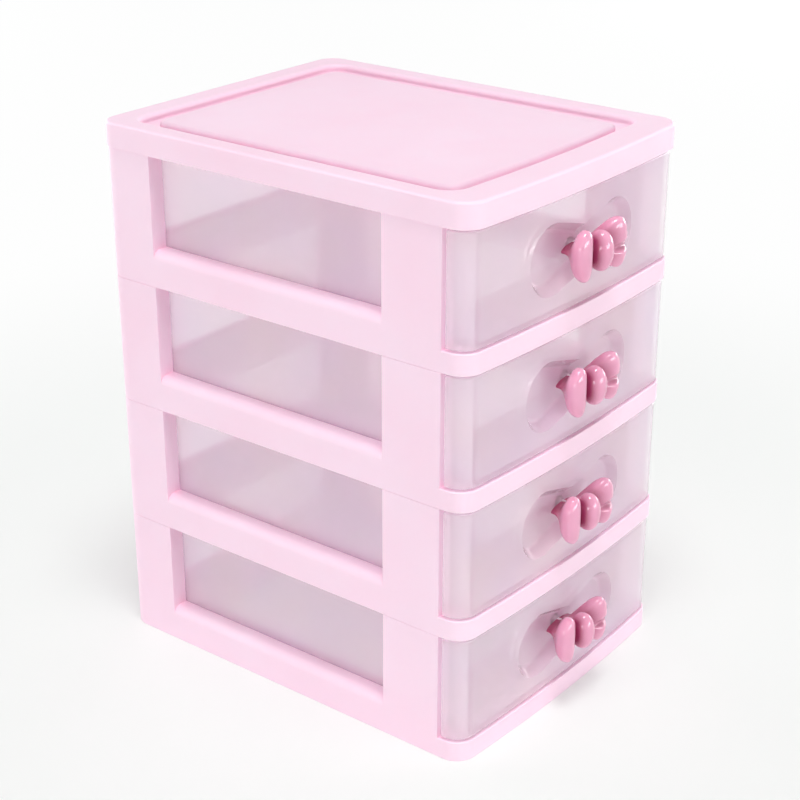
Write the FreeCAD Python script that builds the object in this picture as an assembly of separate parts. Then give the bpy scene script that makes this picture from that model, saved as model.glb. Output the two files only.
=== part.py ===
"""Desktop organizer: four stacked open frames under one lid, each frame holding a frosted
pull-out drawer with a bow-shaped knob screwed into the middle of its dished front.

Millimetres. X runs across the front, the drawers open towards -Y, and Z is up. The origin is
on the table under the middle of the whole outline, knobs included.
"""
import FreeCAD, Part
import math
import os

# Plan shared by the frames: straight at the back and sides, bowed outwards at the front.
case_width = 149.5
case_depth = 191.0
front_bow = 3.0
front_corner = 9.6
rear_corner = 8.4

# Frames: one moulding each, a base ring with two side rails and four corner posts.
tier_count = 4
tier_height = 57.3
wall = 2.2
edge_round = 0.4
band_height = 9.0
side_thickness = 7.6
rail_height = 16.3
rail_round = 3.8
window_length = 122.6
rear_post_width = 14.5
rear_lip_height = 12.0
deck_side_strip = 14.0
deck_front_strip = 33.0
deck_rear_strip = 32.0
deck_rib_depth = 3.6

# Stacking tongues: they stand on the posts and reach up inside the moulding above.
tongue_height = 4.0
tongue_thickness = 2.0
tongue_root = 8.0
tongue_margin = 3.0
tongue_fit = 0.2

# Lid: a shallow cover with a raised border, and a channel between that and a lower panel.
lid_height = 10.8
lid_overhang = 0.6
lid_wall = 2.4
lid_edge_round = 1.2
lid_side_border = 9.9
lid_rear_border = 11.3
lid_front_border = 15.6
lid_border_corner = 8.0
lid_channel_depth = 3.8
lid_channel_round = 1.0
lid_panel_side = 17.3
lid_panel_rear = 16.8
lid_panel_front = 21.2
lid_panel_corner = 5.0
lid_panel_depth = 1.2
lid_shoulder_round = 2.0

# Drawers: a tray and a wider bowed face in one moulding, the face turned back at its ends.
drawer_wall = 2.0
face_inset = 0.8
face_gap_below = 0.6
face_gap_above = 0.8
face_round = 0.9
return_gap = 1.5
tray_side_gap = 0.6
tray_floor_gap = 0.3
tray_rear_gap = 0.3
tray_height = 44.7
tray_corner = 6.0
tray_floor_round = 3.2
stop_width = 24.0
stop_drop = 3.0
stop_setback = 36.0

# Finger dish pressed into each face: two round lobes that narrow to a waist behind the knob.
dish_lobe_radius = 15.0
dish_lobe_offset = 22.0
dish_waist = 9.4
dish_depth = 5.0
dish_slope = 4.0
dish_floor_round = 2.4

# Knobs: a puffed bow of two egg-shaped loops and a knot, on a neck that widens from its foot.
knob_reach = 12.8
bow_half_width = 17.6
loop_reach = 11.8
loop_radius = 6.8
loop_half_height = 11.7
knot_radius = 5.0
knot_half_height = 8.4
neck_half_width = 8.6
neck_half_height = 2.4
neck_top_half_width = 12.4
neck_top_half_height = 5.6
neck_top_reach = 4.0

# Knob screws: pan head self-tapping screws driven from inside the drawer.
screw_diameter = 2.9
screw_bite = 7.0
screw_hole_gap = 0.15
screw_pilot_gap = 0.05
head_diameter = 5.8
head_height = 2.0
head_round = 0.7
cross_width = 0.9
cross_length = 3.4
cross_depth = 1.1

# Each cut runs past the faces that it opens by this much.
overrun = 1.0

half_width = case_width / 2
overall_depth = lid_overhang + case_depth + front_bow - face_inset + knob_reach
rear_y = overall_depth / 2 - lid_overhang
side_front_y = rear_y - case_depth
front_mid_y = side_front_y - front_bow
bow_radius = (half_width ** 2 + front_bow ** 2) / (2 * front_bow)
bow_centre_y = front_mid_y + bow_radius

post_front_y = side_front_y + front_corner + face_inset + return_gap
post_depth = (rear_y - post_front_y - window_length) / 2
window_front_y = post_front_y + post_depth
window_rear_y = rear_y - post_depth
bay_half_width = half_width - side_thickness
bay_rear_y = rear_y - wall
deck_under = band_height - wall
well_half_width = bay_half_width - deck_side_strip
well_front_y = side_front_y + deck_front_strip
well_rear_y = rear_y - deck_rear_strip

face_mid_y = front_mid_y + face_inset
face_bottom = band_height + face_gap_below
face_top = tier_height - face_gap_above
face_middle = (face_bottom + face_top) / 2
return_y = post_front_y - return_gap
tray_half_width = bay_half_width - tray_side_gap
tray_bottom = band_height + tray_floor_gap
tray_top = tray_bottom + tray_height
tray_rear_y = bay_rear_y - tray_rear_gap
dish_floor_y = face_mid_y + dish_depth


def point(x, y, z):
    return FreeCAD.Vector(x, y, z)


def block(x0, x1, y0, y1, z0, z1):
    """A box between two corners."""
    return Part.makeBox(x1 - x0, y1 - y0, z1 - z0, point(x0, y0, z0))


def mirrored(shape):
    """The mirror image of a shape across the middle plane X = 0."""
    return shape.mirror(point(0, 0, 0), point(1, 0, 0))


def both_sides(shape):
    """A shape together with its mirror image."""
    return shape.fuse(mirrored(shape))


def upright_edges(shape, y_from, y_to):
    """Edges parallel to Z whose middle lies between two values of Y."""
    found = []
    for edge in shape.Edges:
        along = edge.tangentAt(edge.FirstParameter)
        if abs(along.x) + abs(along.y) < abs(along.z) and y_from < edge.CenterOfMass.y < y_to:
            found.append(edge)
    return found


def level_edges(shape, z):
    """Edges that lie flat at one height."""
    found = []
    for edge in shape.Edges:
        box = edge.BoundBox
        if abs(box.ZMin - z) + abs(box.ZMax - z) < edge_round / 2:
            found.append(edge)
    return found


def front_y(x, inset):
    """Y of the bowed front at x, on a plan drawn in by inset."""
    return bow_centre_y - math.sqrt((bow_radius - inset) ** 2 - x ** 2)


def plan_block(insets, corners, z0, z1):
    """The plan drawn in by (side, rear, front) insets, with (front, rear) corner radii, stood
    between two heights.
    """
    side, rear, front = insets
    half = half_width - side
    back = rear_y - rear
    right_front = point(half, front_y(half, front), z0)
    left_front = point(-half, front_y(half, front), z0)
    right_back = point(half, back, z0)
    left_back = point(-half, back, z0)
    edges = [
        Part.LineSegment(right_front, right_back).toShape(),
        Part.LineSegment(right_back, left_back).toShape(),
        Part.LineSegment(left_back, left_front).toShape(),
        Part.Arc(left_front, point(0, front_y(0, front), z0), right_front).toShape(),
    ]
    solid = Part.Face(Part.Wire(edges)).extrude(point(0, 0, z1 - z0))
    middle_y = (back + right_front.y) / 2
    solid = solid.makeFillet(corners[0], upright_edges(solid, front_mid_y - front_bow, middle_y))
    return solid.makeFillet(corners[1], upright_edges(solid, middle_y, rear_y + front_bow))


def even_plan(inset, z0, z1):
    """The plan drawn in by the same inset all round, its corners staying concentric."""
    return plan_block((inset, inset, inset), (front_corner - inset, rear_corner - inset), z0, z1)


def eased(shape, heights, radius):
    """A shape with its flat outer edges at the given heights rounded."""
    for z in heights:
        shape = shape.makeFillet(radius, level_edges(shape, z))
    return shape


def frame_tongues():
    """Four tongues rooted inside the posts, standing above them."""
    skin = half_width - wall
    tongues = []
    for y0, y1 in ((post_front_y, window_front_y), (window_rear_y, rear_y)):
        ends = (y0 + wall + tongue_margin, y1 - wall - tongue_margin)
        inner = skin - tongue_fit - tongue_thickness
        root = block(inner, skin, ends[0], ends[1], tier_height - tongue_root, tier_height)
        blade = block(inner, skin - tongue_fit, ends[0], ends[1],
                      tier_height, tier_height + tongue_height)
        tongues.append(both_sides(root.fuse(blade)))
    return tongues


def tier_frame():
    """One frame on its own base plane: front band, deck ring, side rails, posts and rear lip."""
    band = eased(even_plan(0, 0, band_height), (0, band_height), edge_round)
    body = eased(even_plan(0, 0, tier_height), (0, tier_height), edge_round)
    above = tier_height + overrun
    outside = half_width + overrun
    window = block(-outside, outside, window_front_y, window_rear_y, rail_height, above)
    ahead = block(-outside, outside, front_mid_y - overrun, post_front_y, -overrun, above)
    body = body.cut(window).cut(ahead)
    rail_edges = [
        edge for edge in level_edges(body, rail_height)
        if abs(abs(edge.CenterOfMass.x) - half_width) < edge_round
    ]
    body = body.makeFillet(rail_round, rail_edges)
    frame = body.fuse(band).removeSplitter()

    bay = block(-bay_half_width, bay_half_width, front_mid_y - overrun, bay_rear_y, band_height, above)
    rear_half = half_width - rear_post_width
    rear_gap = block(-rear_half, rear_half, bay_rear_y - overrun, rear_y + overrun,
                     rear_lip_height, above)
    well = block(-well_half_width, well_half_width, well_front_y, well_rear_y,
                 -overrun, band_height + overrun)
    frame = frame.cut(bay).cut(rear_gap).cut(well)

    underside = even_plan(wall, -overrun, deck_under)
    rib = block(-well_half_width - wall, well_half_width + wall, well_front_y - wall, well_rear_y + wall,
                deck_under - deck_rib_depth, deck_under)
    rail_core = block(bay_half_width + wall, half_width - wall, window_front_y, window_rear_y,
                      deck_under - overrun, rail_height - wall)
    frame = frame.cut(underside.cut(rib)).cut(both_sides(rail_core))

    cores = [
        block(bay_half_width - overrun, outside, y0 + wall, y1 - wall, band_height, above)
        for y0, y1 in ((post_front_y, window_front_y), (window_rear_y, rear_y))
    ]
    inside = even_plan(wall, 0, above)
    for core in cores:
        frame = frame.cut(both_sides(core.common(inside)))
    return frame.fuse(frame_tongues()).removeSplitter()


def lid():
    """The lid on its own base plane, hollow underneath."""
    corners = (front_corner + lid_overhang, rear_corner + lid_overhang)
    grown = (-lid_overhang, -lid_overhang, -lid_overhang)
    cover = plan_block(grown, corners, 0, lid_height)
    cover = eased(cover, (0,), edge_round)
    cover = eased(cover, (lid_height,), lid_edge_round)

    floor = lid_height - lid_channel_depth
    panel = lid_height - lid_panel_depth
    borders = [border - lid_overhang for border in (lid_side_border, lid_rear_border, lid_front_border)]
    margins = [margin - lid_overhang for margin in (lid_panel_side, lid_panel_rear, lid_panel_front)]
    border_corners = (lid_border_corner, lid_border_corner)
    sunk = plan_block(borders, border_corners, floor, lid_height + overrun)
    sunk = eased(sunk, (floor,), lid_channel_round)
    raised = plan_block(margins, (lid_panel_corner, lid_panel_corner), floor - overrun, panel)
    raised = eased(raised, (panel,), lid_shoulder_round)
    cover = cover.cut(sunk.cut(raised))
    inner_edges = [
        edge for edge in level_edges(cover, lid_height)
        if edge.BoundBox.XMax < half_width - borders[0] + edge_round
        and edge.BoundBox.XMin > borders[0] - half_width - edge_round
        and edge.BoundBox.YMax < rear_y - borders[1] + edge_round
        and edge.BoundBox.YMin > front_mid_y + borders[2] - edge_round
    ]
    cover = cover.makeFillet(lid_shoulder_round, inner_edges)

    inset = lid_wall - lid_overhang
    hollow = even_plan(inset, -overrun, lid_height - lid_wall)
    kept = [border - lid_wall for border in borders]
    channel_floor = plan_block(kept, border_corners, floor - lid_wall, lid_height)
    under = [margin + lid_wall for margin in margins]
    under_corner = lid_panel_corner - lid_wall
    under_panel = plan_block(under, (under_corner, under_corner), -overrun, panel - lid_wall)
    return cover.cut(hollow.cut(channel_floor).fuse(under_panel))


def dish_outline(y, inset):
    """The dish outline at depth y, drawn in by inset: two arcs joined to the waist by tangents."""
    radius = dish_lobe_radius - inset
    waist = dish_waist - inset
    reach = math.hypot(dish_lobe_offset, waist)
    turn = math.atan2(waist, -dish_lobe_offset) - math.acos(radius / reach)
    touch_x = dish_lobe_offset + radius * math.cos(turn)
    touch_z = radius * math.sin(turn)
    end_x = dish_lobe_offset + radius

    def at(x, z):
        return point(x, y, face_middle + z)

    edges = [
        Part.LineSegment(at(0, waist), at(touch_x, touch_z)).toShape(),
        Part.Arc(at(touch_x, touch_z), at(end_x, 0), at(touch_x, -touch_z)).toShape(),
        Part.LineSegment(at(touch_x, -touch_z), at(0, -waist)).toShape(),
        Part.LineSegment(at(0, -waist), at(-touch_x, -touch_z)).toShape(),
        Part.Arc(at(-touch_x, -touch_z), at(-end_x, 0), at(-touch_x, touch_z)).toShape(),
        Part.LineSegment(at(-touch_x, touch_z), at(0, waist)).toShape(),
    ]
    return Part.Wire(edges)


def dish_plug(growth):
    """The solid that fills the dish, grown all round by growth, with its floor edge rounded."""
    slope = dish_slope / dish_depth
    start_y = face_mid_y - overrun
    floor_y = dish_floor_y + growth
    start = dish_outline(start_y, -overrun * slope - growth)
    floor = dish_outline(floor_y, dish_slope - growth)
    plug = Part.makeLoft([start, floor], True, True)
    floor_edges = [edge for edge in plug.Edges if edge.BoundBox.YMin > floor_y - edge_round / 2]
    return plug.makeFillet(dish_floor_round + growth, floor_edges)


def drawer_tray():
    """One drawer on the base plane of its frame, closed."""
    skin = eased(even_plan(face_inset, face_bottom, face_top), (face_bottom, face_top), face_round)
    hollow = even_plan(face_inset + drawer_wall, face_bottom - overrun, face_top + overrun)
    ahead = block(-half_width, half_width, front_mid_y - overrun, return_y, 0, tier_height)
    face = skin.cut(hollow).common(ahead)

    behind_face = even_plan(face_inset + drawer_wall / 2, 0, tier_height)
    inside_face = even_plan(face_inset + drawer_wall, 0, tier_height)
    outer = block(-tray_half_width, tray_half_width, front_mid_y - overrun, tray_rear_y,
                  tray_bottom, tray_top)
    outer = outer.makeFillet(tray_corner, upright_edges(outer, 0, rear_y))
    outer = outer.makeFillet(tray_floor_round, level_edges(outer, tray_bottom))
    inner_half = tray_half_width - drawer_wall
    inner_floor = tray_bottom + drawer_wall
    inner = block(-inner_half, inner_half, front_mid_y - overrun, tray_rear_y - drawer_wall,
                  inner_floor, tray_top + overrun)
    inner = inner.makeFillet(tray_corner - drawer_wall, upright_edges(inner, 0, rear_y))
    inner = inner.makeFillet(tray_floor_round - drawer_wall, level_edges(inner, inner_floor))
    tray = outer.common(behind_face).cut(inner.common(inside_face))

    stop_y = tray_rear_y - stop_setback
    stop = block(-stop_width / 2, stop_width / 2, stop_y, stop_y + drawer_wall,
                 tray_bottom - stop_drop, inner_floor)
    backing = dish_plug(drawer_wall).common(behind_face)
    hole = Part.makeCylinder(screw_diameter / 2 + screw_hole_gap, drawer_wall + overrun * 2,
                             point(0, dish_floor_y - overrun, face_middle), point(0, 1, 0))
    drawer = face.fuse([tray, stop, backing]).cut(dish_plug(0)).cut(hole)
    return drawer.removeSplitter()


def egg(radius, half_height, x, reach):
    """A ball stretched in height, its seam in front, that reaches out from the face."""
    stretch = FreeCAD.Matrix()
    stretch.scale(1, 1, half_height / radius)
    ball = Part.makeSphere(radius).transformGeometry(stretch)
    ball.rotate(point(0, 0, 0), point(0, 0, 1), -90)
    return ball.translated(point(x, face_mid_y - reach + radius, face_middle))


def ellipse_wire(half_across, half_up, y):
    """An upright ellipse across the middle of the face."""
    end = point(half_across, y, face_middle)
    top = point(0, y, face_middle + half_up)
    ellipse = Part.Ellipse(end, top, point(0, y, face_middle))
    return Part.Wire([ellipse.toShape()])


def bow_knob():
    """One knob: two loops, the knot between them and the neck that stands on the dish floor."""
    loop = egg(loop_radius, loop_half_height, bow_half_width - loop_radius, loop_reach)
    knot = egg(knot_radius, knot_half_height, 0, knob_reach)
    neck = Part.makeLoft([
        ellipse_wire(neck_half_width, neck_half_height, dish_floor_y),
        ellipse_wire(neck_top_half_width, neck_top_half_height, face_mid_y - neck_top_reach),
    ], True, True)
    pilot = Part.makeCylinder(screw_diameter / 2 + screw_pilot_gap, screw_bite + overrun,
                              point(0, dish_floor_y, face_middle), point(0, -1, 0))
    return neck.fuse([loop, mirrored(loop), knot]).cut(pilot).removeSplitter()


def knob_screw():
    """One screw: a cross-slotted pan head against the back of the dish and a plain shank."""
    seat_y = dish_floor_y + drawer_wall
    axis = point(0, 1, 0)
    head = Part.makeCylinder(head_diameter / 2, head_height, point(0, seat_y, face_middle), axis)
    rim = [
        edge for edge in head.Edges
        if edge.BoundBox.YMin > seat_y + head_height / 2 and len(edge.Vertexes) == 1
    ]
    head = head.makeFillet(head_round, rim)
    shank = Part.makeCylinder(screw_diameter / 2, screw_bite + drawer_wall,
                              point(0, dish_floor_y - screw_bite, face_middle), axis)
    top_y = seat_y + head_height
    across = block(-cross_length / 2, cross_length / 2, top_y - cross_depth, top_y + overrun,
                   face_middle - cross_width / 2, face_middle + cross_width / 2)
    upright = block(-cross_width / 2, cross_width / 2, top_y - cross_depth, top_y + overrun,
                    face_middle - cross_length / 2, face_middle + cross_length / 2)
    return head.fuse(shank).cut(across).cut(upright).removeSplitter()


def export(shape, node, lift):
    """One solid, lifted to its place in the stack, as its own file."""
    solid = shape.Solids[0].translated(point(0, 0, lift))
    solid.exportStep(f"parts/{node}.step")


os.makedirs("parts", exist_ok=True)
tier_pieces = {
    "tier_frame": tier_frame(),
    "drawer_tray": drawer_tray(),
    "bow_knob": bow_knob(),
    "knob_screw": knob_screw(),
}
for tier in range(tier_count):
    for name, piece in tier_pieces.items():
        export(piece, f"{name}_{tier + 1}", tier * tier_height)
export(lid(), "lid", tier_count * tier_height)
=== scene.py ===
"""Looks of the desktop drawer organizer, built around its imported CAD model.

Metres, in the CAD frame: X runs across the front, the drawers open towards -Y, and Z is up.
"""
import math

import bpy
import numpy as np
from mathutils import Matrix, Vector


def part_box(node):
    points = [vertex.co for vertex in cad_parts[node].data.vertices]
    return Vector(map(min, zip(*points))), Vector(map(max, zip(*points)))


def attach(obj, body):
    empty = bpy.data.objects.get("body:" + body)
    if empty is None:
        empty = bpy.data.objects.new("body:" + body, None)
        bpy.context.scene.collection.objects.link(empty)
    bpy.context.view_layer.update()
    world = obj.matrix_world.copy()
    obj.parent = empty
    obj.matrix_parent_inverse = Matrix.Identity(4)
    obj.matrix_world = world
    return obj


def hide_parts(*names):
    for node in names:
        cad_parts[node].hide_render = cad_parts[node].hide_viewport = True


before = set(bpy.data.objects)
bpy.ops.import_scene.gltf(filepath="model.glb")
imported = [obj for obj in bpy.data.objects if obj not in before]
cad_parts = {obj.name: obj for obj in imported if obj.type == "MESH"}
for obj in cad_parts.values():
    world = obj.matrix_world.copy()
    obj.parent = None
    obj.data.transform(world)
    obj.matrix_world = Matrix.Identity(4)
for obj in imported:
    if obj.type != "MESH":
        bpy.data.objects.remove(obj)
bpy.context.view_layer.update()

# Frames: four like polypropylene mouldings, stacked on the tongues of their corner posts.
# The mould was polished and then lightly blasted, which leaves a satin skin on every face.
TIERS = (1, 2, 3, 4)
MM = 0.001


def linear(code):
    """An sRGB hex colour as linear red, green, blue and a full alpha."""
    parts = [int(code[i:i + 2], 16) / 255 for i in (1, 3, 5)]
    return [p / 12.92 if p <= 0.04045 else ((p + 0.055) / 1.055) ** 2.4 for p in parts] + [1.0]


def add(tree, kind, inputs=(), **settings):
    """Adds a node, sets its properties, and gives each input a value or another node's output."""
    node = tree.nodes.new(kind)
    for name, value in settings.items():
        setattr(node, name, value)
    for name, value in dict(inputs).items():
        if isinstance(value, tuple) and isinstance(value[0], bpy.types.Node):
            tree.links.new(value[0].outputs[value[1]], node.inputs[name])
        else:
            node.inputs[name].default_value = value
    return node


def finish(name):
    """A new material with an empty node tree and its Object coordinates."""
    material = bpy.data.materials.new(name)
    material.use_nodes = True
    tree = material.node_tree
    tree.nodes.clear()
    return material, tree, add(tree, "ShaderNodeTexCoord")


def cloud(tree, place, size, detail=2.0):
    """Noise on Object coordinates whose blotches are about one given size across."""
    return add(tree, "ShaderNodeTexNoise", {"Vector": (place, "Object"), "Scale": 1 / size, "Detail": detail})


def spread(tree, source, low, high):
    """The middle range of a noise, stretched between two values."""
    return add(tree, "ShaderNodeMapRange", {"Value": (source, "Fac"), "From Min": 0.3, "From Max": 0.7,
                                            "To Min": low, "To Max": high})


def blend(tree, share, first, second):
    """Goes from a first colour to a second one as the share grows."""
    return add(tree, "ShaderNodeMix", {0: share, 6: first, 7: second}, data_type="RGBA")


def dress(material, *nodes):
    """Puts one material on whole CAD nodes."""
    for node in nodes:
        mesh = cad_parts[node].data
        mesh.materials.clear()
        mesh.materials.append(material)


# Satin polypropylene: slow flow marks of about 45 mm shift the pink a little, the blasted skin
# varies in gloss over 9 mm, and its grain, really 0.2 mm, is drawn at 0.9 mm so that it shows.
# Painted shade: where ambient occlusion over about 6 mm finds a hollow or inside edge, the colour goes over
# to a darker, stronger pink.
satin, tree, place = finish("moulded_satin_polypropylene")
flow = spread(tree, cloud(tree, place, 45 * MM), 0.0, 1.0)
pink = blend(tree, (flow, "Result"), linear("#F9D7E9"), linear("#F9DCED"))
# Painted shade in hollows: ambient occlusion blends the base colour to a darker pink.
shade_ao = add(tree, "ShaderNodeAmbientOcclusion", {"Distance": 6 * MM}, samples=8, only_local=True)
painted_shade = blend(tree, (shade_ao, "AO"), linear("#FFCADF"), (pink, 2))
gloss = spread(tree, cloud(tree, place, 9 * MM), 0.48, 0.58)
grain = add(tree, "ShaderNodeBump", {"Height": (cloud(tree, place, 0.9 * MM, 3.0), "Fac"),
                                     "Strength": 0.12, "Distance": 0.05 * MM})
skin = add(tree, "ShaderNodeBsdfPrincipled", {
    "Base Color": (painted_shade, 2), "Roughness": (gloss, "Result"), "Normal": (grain, "Normal"), "IOR": 1.49,
    "Subsurface Weight": 0.12, "Subsurface Radius": (1.0, 0.6, 0.7), "Subsurface Scale": 1.5 * MM})
add(tree, "ShaderNodeOutputMaterial", {"Surface": (skin, "BSDF")})
dress(satin, *(f"tier_frame_{tier}" for tier in TIERS))

# Drawers: one frosted moulding each, tray and bowed face together, with a dish for the fingers.
# Natural polypropylene with a finely etched skin. Each slides on the deck of its own frame.
CLEAR_SHARE = 0.66      # of what falls on a surface goes straight through
HAZE_SHARE = 0.22       # of the rest is spread behind the surface, and what is left in front of it
# Frosted polypropylene: a milky tint that drifts over 35 mm, frost that varies in gloss over 6 mm,
# and etched pits, really about 0.1 mm, drawn at 0.8 mm so that they show.
frosted, tree, place = finish("moulded_frosted_polypropylene")
tint = spread(tree, cloud(tree, place, 35 * MM), 0.0, 1.0)
milk = blend(tree, (tint, "Result"), linear("#FFF8FB"), linear("#FBF4FF"))
frost = spread(tree, cloud(tree, place, 6 * MM), 0.16, 0.24)
pits = add(tree, "ShaderNodeBump", {"Height": (cloud(tree, place, 0.8 * MM, 3.0), "Fac"),
                                    "Strength": 0.10, "Distance": 0.05 * MM})
skin = add(tree, "ShaderNodeBsdfPrincipled", {
    "Base Color": (milk, 2), "Roughness": 0.6, "Normal": (pits, "Normal"), "IOR": 1.49})
haze = add(tree, "ShaderNodeBsdfTranslucent", {"Color": (milk, 2), "Normal": (pits, "Normal")})
body = add(tree, "ShaderNodeMixShader", {0: HAZE_SHARE, 1: (skin, "BSDF"), 2: (haze, "BSDF")})
clear = add(tree, "ShaderNodeBsdfTransparent", {"Color": linear("#FFFDFE")})
wall = add(tree, "ShaderNodeMixShader", {0: CLEAR_SHARE, 1: (body, "Shader"), 2: (clear, "BSDF")})
# Its gloss grows with the fifth power of the slant, from 4 % straight on to a mirror along the surface.
slant = add(tree, "ShaderNodeLayerWeight", {"Blend": 0.5})
slant = add(tree, "ShaderNodeMath", {0: (slant, "Facing"), 1: 5.0}, operation="POWER")
gleam = add(tree, "ShaderNodeMapRange", {"Value": (slant, 0), "To Min": 0.04, "To Max": 1.0})
shine = add(tree, "ShaderNodeBsdfGlossy", {"Roughness": (frost, "Result"), "Normal": (pits, "Normal")})
film = add(tree, "ShaderNodeMixShader", {0: (gleam, "Result"), 1: (wall, "Shader"), 2: (shine, "BSDF")})
add(tree, "ShaderNodeOutputMaterial", {"Surface": (film, "Shader")})
dress(frosted, *(f"drawer_tray_{tier}" for tier in TIERS))

# Knobs: a glossy moulded bow with a knot across its middle, standing on a tapered neck in the
# dish of each drawer. The screw comes from behind, so the front shows no fixing.
BOW_HALF_WIDTH = 17.2 * MM
BOW_RISE, BOW_DROP = 13.2 * MM, 11.9 * MM       # from its middle up to the loops' tops, down to their ends
WAIST_SHARE, WAIST_OUT = 0.34, 0.8              # height left at the knot, and where it is full again
SQUARE_ACROSS, SQUARE_UP = 0.8, 0.6             # powers under 1 square off a round outline
RIM_LOW, RIM_FLARE = 8.6 * MM, 4.0 * MM         # rim over the foot at the knot, and its rise to the ends
FLARE_FROM, FLARE_TO = 0.1, 0.8                 # shares of the half width between which the rim rises
CROWN_LOW, CROWN_MORE = 2.4 * MM, 1.7 * MM      # bulge over the rim at the knot, and its growth outwards
CROWN_TO = 0.7                                  # share of the half width where the bulge is full
FRONT_FULL, NECK_SLIM = 0.7, 6.0                # powers: how full the front is, how slim the neck
CREASE, CREASE_HALF = 2.6 * MM, 1.6 * MM        # fold along the middle of the right loop, deep and half wide
CREASE_DROP, CREASE_FADE = 1.0 * MM, 0.5        # how far under the middle, and how it fades to the rim
CREASE_OUT, CREASE_SPREAD = 0.8, 0.35           # shares of the half width: its deepest place, its spread
KNOT_SQUARE = 0.9                               # power that squares the knot's shoulders a little
FOOT_HALF_WIDTH, FOOT_HALF_HEIGHT, FOOT_DROP = 8.8 * MM, 2.2 * MM, 1.0 * MM
KNOT_HALF = np.array((5.0, 5.2, 8.4)) * MM
NECK_SHADE_FROM, NECK_SHADE_FULL = -97 * MM, -88 * MM      # along Y, where the painted shade of the neck begins and where it is full


def power(value, exponent):
    """A power that keeps the sign."""
    return np.sign(value) * np.abs(value) ** exponent


def ease(value, low, high):
    """Nothing below low, one above high, and a smooth step between."""
    part = np.clip((value - low) / (high - low), 0, 1)
    return part * part * (3 - 2 * part)


def turned(rows, cols):
    """A latitude from pole to pole down the rows, and a turn along the columns."""
    return np.linspace(0, math.pi, rows)[:, None], np.linspace(0, 2 * math.pi, cols, endpoint=False)[None, :]


def bow_loops():
    """Both loops and their neck as one closed form. The turn draws the outline: a rounded oblong whose
    height shrinks to the waist in the middle. From the rim, the latitude fills that outline in to a
    crowned front, and behind it draws the outline in to the foot. The rim flares forward outwards,
    and a bell-shaped furrow across the right loop is the fold of the ribbon."""
    latitude, turn = turned(97, 192)
    across = BOW_HALF_WIDTH * power(np.cos(turn), SQUARE_ACROSS)
    waist = WAIST_SHARE + (1 - WAIST_SHARE) * ease(np.abs(np.cos(turn)) ** SQUARE_ACROSS, 0, WAIST_OUT)
    up = np.where(np.sin(turn) > 0, BOW_RISE, BOW_DROP) * power(np.sin(turn), SQUARE_UP) * waist
    behind = latitude > math.pi / 2
    fill = np.sin(latitude).clip(0) ** np.where(behind, NECK_SLIM, FRONT_FULL)
    foot_x, foot_z = FOOT_HALF_WIDTH * np.cos(turn), FOOT_HALF_HEIGHT * np.sin(turn) - FOOT_DROP
    x = np.where(behind, foot_x + (across - foot_x) * fill, across * fill)
    z = np.where(behind, foot_z + (up - foot_z) * fill, up * fill)
    out = np.abs(x) / BOW_HALF_WIDTH
    ahead, back = np.clip(np.cos(latitude), 0, 1), np.clip(-np.cos(latitude), 0, 1)
    rim = RIM_LOW + RIM_FLARE * ease(np.abs(across) / BOW_HALF_WIDTH, FLARE_FROM, FLARE_TO) + 0 * latitude
    bulge = (CROWN_LOW + CROWN_MORE * ease(out, FLARE_FROM, CROWN_TO)) * ahead ** FRONT_FULL
    crown = RIM_LOW + RIM_FLARE * ease(out, FLARE_FROM, FLARE_TO) + bulge
    bell = np.exp(-((z + CREASE_DROP) / CREASE_HALF) ** 2 - ((out - CREASE_OUT) / CREASE_SPREAD) ** 2)
    fold = CREASE * bell * ahead ** CREASE_FADE * (x > 0)
    reach = np.where(behind, rim * (1 - back), crown - fold)
    return np.stack([x, -reach, z], -1)


def bow_knot(reach):
    """The knot: an ellipsoid with slightly squared shoulders, its front at the reach of the whole knob."""
    latitude, turn = turned(49, 64)
    side = power(np.sin(latitude).clip(0), KNOT_SQUARE)
    x, z = side * np.cos(turn), side * np.sin(turn)
    y = KNOT_HALF[1] - reach - KNOT_HALF[1] * power(np.cos(latitude), KNOT_SQUARE) + 0 * turn
    return np.stack([x * KNOT_HALF[0], y, z * KNOT_HALF[2]], -1)


def closed(grid, first=0):
    """Points and faces of a grid whose columns join up and whose first and last rows are drawn to a pole."""
    rows, cols = grid.shape[:2]
    spot = first + 1 + np.arange(rows * cols).reshape(rows, cols)
    after = np.roll(spot, -1, 1)
    sides = np.stack([spot[:-1], spot[1:], after[1:], after[:-1]], -1).reshape(-1, 4)
    front = np.stack([np.full(cols, first), spot[0], after[0]], -1)
    rear = np.stack([np.full(cols, spot[-1, -1] + 1), after[-1], spot[-1]], -1)
    points = np.concatenate([grid[:1].mean(1), grid.reshape(-1, 3), grid[-1:].mean(1)])
    return points, sides.tolist() + front.tolist() + rear.tolist()


# Gloss polystyrene: a polished mould gives tight highlights, with cloudy colour over 12 mm. Painted
# shade: the pink is painted darker in the folds, where ambient occlusion over about 10 mm finds them closed
# in.
gloss_bow, tree, place = finish("moulded_gloss_polystyrene")
blush = spread(tree, cloud(tree, place, 12 * MM), 0.0, 1.0)
rose = blend(tree, (blush, "Result"), linear("#E39DBA"), linear("#E6A4C0"))
# Painted shade in the folds: ambient occlusion darkens the base colour.
shade_ao = add(tree, "ShaderNodeAmbientOcclusion", {"Distance": 10 * MM}, samples=8, only_local=True)
unshaded_share = add(tree, "ShaderNodeMapRange", {"Value": (shade_ao, "AO"), "From Min": 0.5, "From Max": 1.0})
painted_shade = blend(tree, (unshaded_share, "Result"), linear("#A43C66"), (rose, 2))
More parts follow.
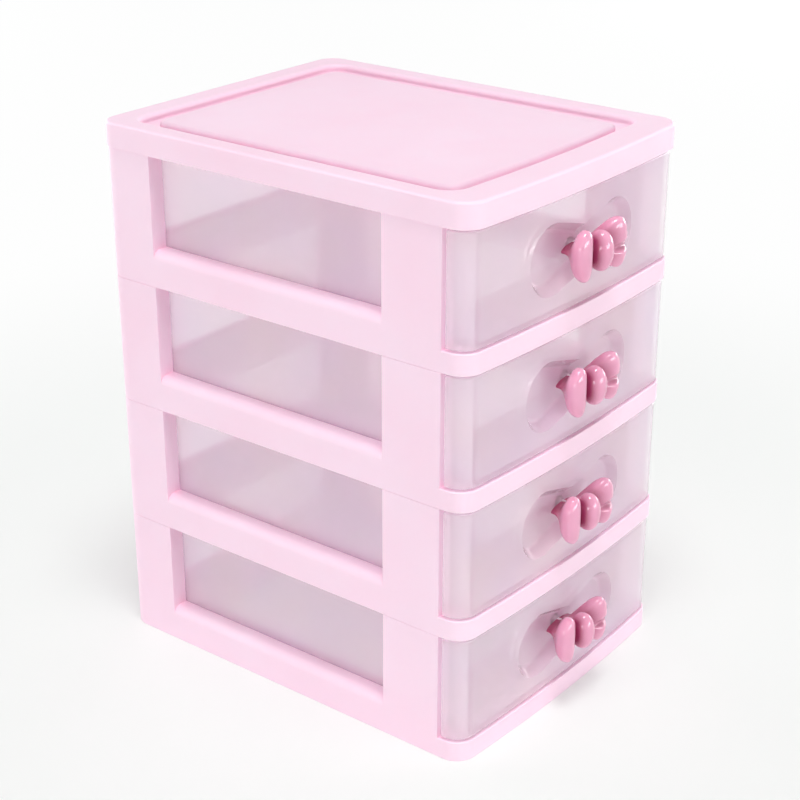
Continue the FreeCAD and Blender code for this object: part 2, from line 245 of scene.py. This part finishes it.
# Painted shade: the neck stands far down in the dish, so its pink is painted darker towards the foot.
along = add(tree, "ShaderNodeSeparateXYZ", {0: (place, "Object")})
neck_shade = add(tree, "ShaderNodeMapRange", {"Value": (along, "Y"), "From Min": NECK_SHADE_FROM, "From Max": NECK_SHADE_FULL,
                                         "To Min": 0.0, "To Max": 0.9})
painted_shade = blend(tree, (neck_shade, "Result"), (painted_shade, 2), linear("#B4486F"))
polish = spread(tree, cloud(tree, place, 3 * MM), 0.10, 0.18)
skin = add(tree, "ShaderNodeBsdfPrincipled", {
    "Base Color": (painted_shade, 2), "Roughness": (polish, "Result"), "IOR": 1.55,
    "Subsurface Weight": 0.2, "Subsurface Radius": (1.0, 0.5, 0.6), "Subsurface Scale": 1.2 * MM})
add(tree, "ShaderNodeOutputMaterial", {"Surface": (skin, "BSDF")})
for tier in TIERS:
    low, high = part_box(f"bow_knob_{tier}")
    loops, loop_faces = closed(bow_loops()[1:])
    knot, knot_faces = closed(bow_knot(high[1] - low[1])[1:-1], len(loops))
    points = np.concatenate([loops, knot]) + ((low[0] + high[0]) / 2, high[1], (low[2] + high[2]) / 2)
    bow_mesh = bpy.data.meshes.new(f"bow_{tier}")
    bow_mesh.from_pydata(points.tolist(), [], loop_faces + knot_faces)
    bow_mesh.shade_smooth()
    bow_mesh.materials.append(gloss_bow)
    bow = bpy.data.objects.new(f"bow_{tier}", bow_mesh)
    bpy.context.scene.collection.objects.link(bow)
    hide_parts(f"bow_knob_{tier}")
    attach(bow, f"drawer_{tier}")

# Knob screws: zinc-plated steel with a pressed cross, driven into each knob from inside its drawer.
# The plating is dull, with blotches of about 0.6 mm.
zinc, tree, place = finish("zinc_plated_steel")
worn = spread(tree, cloud(tree, place, 0.6 * MM), 0.5, 0.65)
skin = add(tree, "ShaderNodeBsdfPrincipled", {
    "Base Color": linear("#F4F1F2"), "Metallic": 1.0, "Roughness": (worn, "Result")})
add(tree, "ShaderNodeOutputMaterial", {"Surface": (skin, "BSDF")})
dress(zinc, *(f"knob_screw_{tier}" for tier in TIERS))

# Lid: one moulding in the same satin polypropylene, pressed over the top frame. A channel runs
# between its raised border and its slightly lower panel.
dress(satin, "lid")

# Studio: a pale floor that runs past the view, and a white surround. A low, wide lamp on each side
# shines in through the windows, and one above lights the lid.
FLOOR_HALF = 5.0
PAPER_NEAR, PAPER_FAR = 0.15, 0.6       # from the middle, where the paper begins to whiten and where it has
WHITE_NEAR, WHITE_FAR = 0.3, 0.95       # share of plain white that it shows there
SURROUND_LIGHT = 0.25                   # the surround looks white, and lights this much
LAMP_AIM = Vector((0, 0, 0.12))
corners = [(-FLOOR_HALF, -FLOOR_HALF, 0), (FLOOR_HALF, -FLOOR_HALF, 0),
           (FLOOR_HALF, FLOOR_HALF, 0), (-FLOOR_HALF, FLOOR_HALF, 0)]
floor_mesh = bpy.data.meshes.new("floor")
floor_mesh.from_pydata(corners, [], [(0, 1, 2, 3)])
floor = bpy.data.objects.new("floor", floor_mesh)
bpy.context.scene.collection.objects.link(floor)


def looked_at(tree):
    """One for rays that look at the studio, straight, mirrored or through a wall, and nothing for others."""
    path = add(tree, "ShaderNodeLightPath")
    seen = add(tree, "ShaderNodeMath", {0: (path, "Is Camera Ray"), 1: (path, "Is Glossy Ray")},
               operation="MAXIMUM")
    return add(tree, "ShaderNodeMath", {0: (seen, 0), 1: (path, "Is Transmission Ray")}, operation="MAXIMUM")


paper, tree, place = finish("white_studio_paper")
seen = looked_at(tree)
# Close to the object the paper shows its shadow, and further off it goes over to plain white.
away = add(tree, "ShaderNodeVectorMath", {0: (place, "Object")}, operation="LENGTH")
white = add(tree, "ShaderNodeMapRange", {
    "Value": (away, "Value"), "From Min": PAPER_NEAR, "From Max": PAPER_FAR,
    "To Min": WHITE_NEAR, "To Max": WHITE_FAR}, interpolation_type="SMOOTHSTEP")
share = add(tree, "ShaderNodeMath", {0: (seen, 0), 1: (white, "Result")}, operation="MULTIPLY")
matt = add(tree, "ShaderNodeBsdfDiffuse", {"Color": linear("#EDF1EE")})
glow = add(tree, "ShaderNodeEmission", {"Color": linear("#FFFFFF"), "Strength": 1.0})
both = add(tree, "ShaderNodeMixShader", {0: (share, 0), 1: (matt, "BSDF"), 2: (glow, "Emission")})
add(tree, "ShaderNodeOutputMaterial", {"Surface": (both, "Shader")})
floor_mesh.materials.append(paper)

world = bpy.data.worlds.new("surround")
bpy.context.scene.world = world
world.use_nodes = True
tree = world.node_tree
tree.nodes.clear()
seen = looked_at(tree)
level = add(tree, "ShaderNodeMapRange", {"Value": (seen, 0), "To Min": SURROUND_LIGHT, "To Max": 1.0})
sky = add(tree, "ShaderNodeBackground", {"Color": linear("#FFFFFF"), "Strength": (level, "Result")})
add(tree, "ShaderNodeOutputWorld", {"Surface": (sky, "Background")})


def lamp(name, spot, width, height, watts):
    """A soft lamp at a spot, turned towards the middle of the object."""
    light = bpy.data.lights.new(name, "AREA")
    light.shape = "RECTANGLE"
    light.size, light.size_y = width, height
    light.energy = watts
    thing = bpy.data.objects.new(name, light)
    thing.location = spot
    thing.rotation_euler = (LAMP_AIM - Vector(spot)).to_track_quat("-Z", "Y").to_euler()
    bpy.context.scene.collection.objects.link(thing)


lamp("left", (-1.8, -0.25, 0.25), 1.6, 0.4, 11)
lamp("front", (0.35, -1.8, 0.25), 1.2, 0.4, 12)
lamp("right", (1.6, -0.1, 0.25), 1.6, 0.4, 12.5)
lamp("back", (0.0, 1.7, 0.25), 1.6, 0.4, 17)
lamp("top", (-0.3, -0.3, 1.8), 0.6, 0.6, 19.5)

# Camera: solved from the straight edges and rounded corners of the body in the photograph.
CAMERA_SPOT = Vector((-0.5630, -0.4412, 0.4286))
CAMERA_AIM = Vector((0.0, 0.00165, 0.11396))
view = bpy.data.cameras.new("camera")
view.sensor_width = 36
view.lens = 79.39
camera = bpy.data.objects.new("camera", view)
camera.location = CAMERA_SPOT
camera.rotation_euler = (CAMERA_AIM - CAMERA_SPOT).to_track_quat("-Z", "Y").to_euler()
bpy.context.scene.collection.objects.link(camera)
bpy.context.scene.camera = camera
bpy.context.scene.view_settings.view_transform = "Standard"
# Light gets through many frosted walls before it leaves, so its paths may be long.
cycles = bpy.context.scene.cycles
cycles.max_bounces = 24
cycles.diffuse_bounces = 12
cycles.transmission_bounces = 16
cycles.transparent_max_bounces = 32
